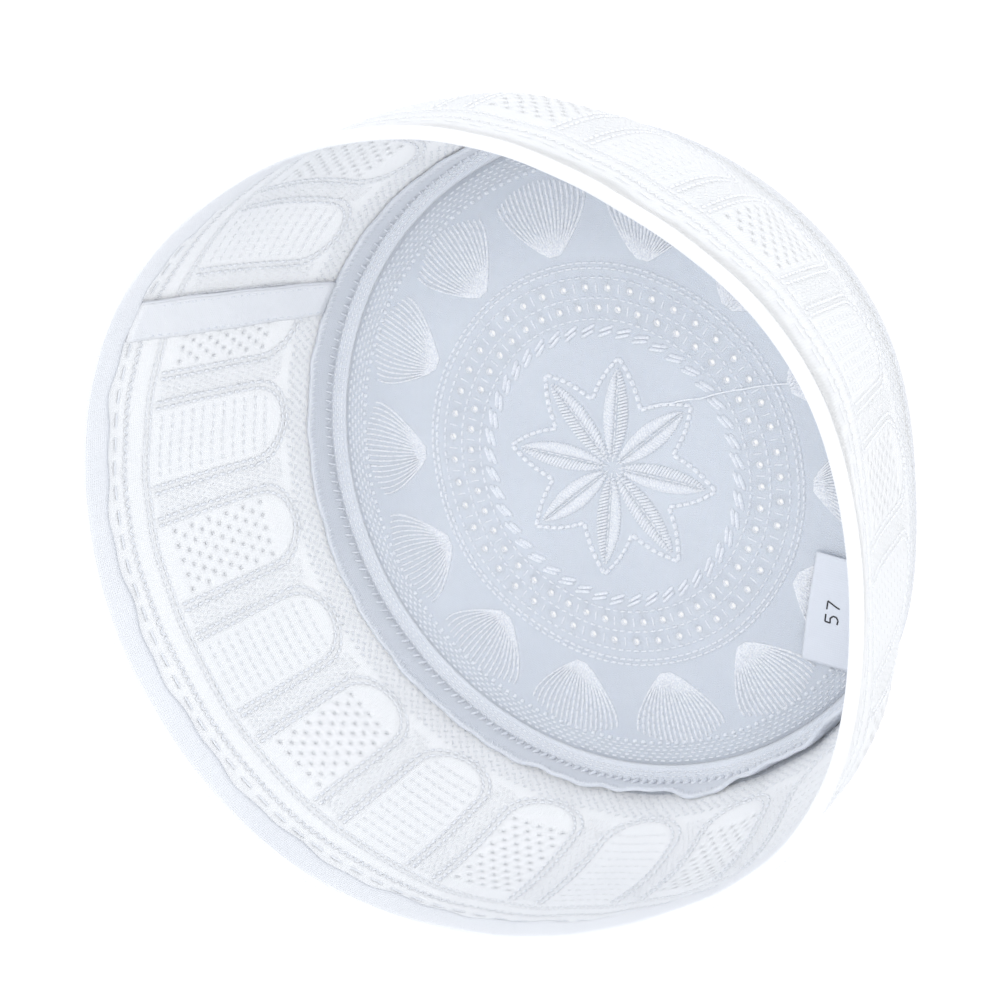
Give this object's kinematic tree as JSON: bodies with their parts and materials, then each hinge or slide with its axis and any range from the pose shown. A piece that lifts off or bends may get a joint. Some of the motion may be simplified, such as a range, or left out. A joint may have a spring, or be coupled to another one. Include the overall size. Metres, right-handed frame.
{
  "type": "prayer cap",
  "caption": "Soft white cotton prayer cap with a round embroidered crown, a flared side band and a folded rim hem, lying crown down with its mouth up.",
  "frame": {"origin": "centre of the crown's outer face, on the surface the cap rests on", "axes": "+Z out of the cap's mouth, +Y towards the upright seam at the back of the band"},
  "size_m": [0.1806, 0.1881, 0.0777],
  "materials": {
    "cloth": "matte",
    "label": "satin"
  },
  "bodies": {
    "root": {"crown": "cloth", "side_band": "cloth", "rim_hem": "cloth", "seam_allowance": "cloth", "band_lap": "cloth", "size_label": "label"}
  },
  "joints": []
}
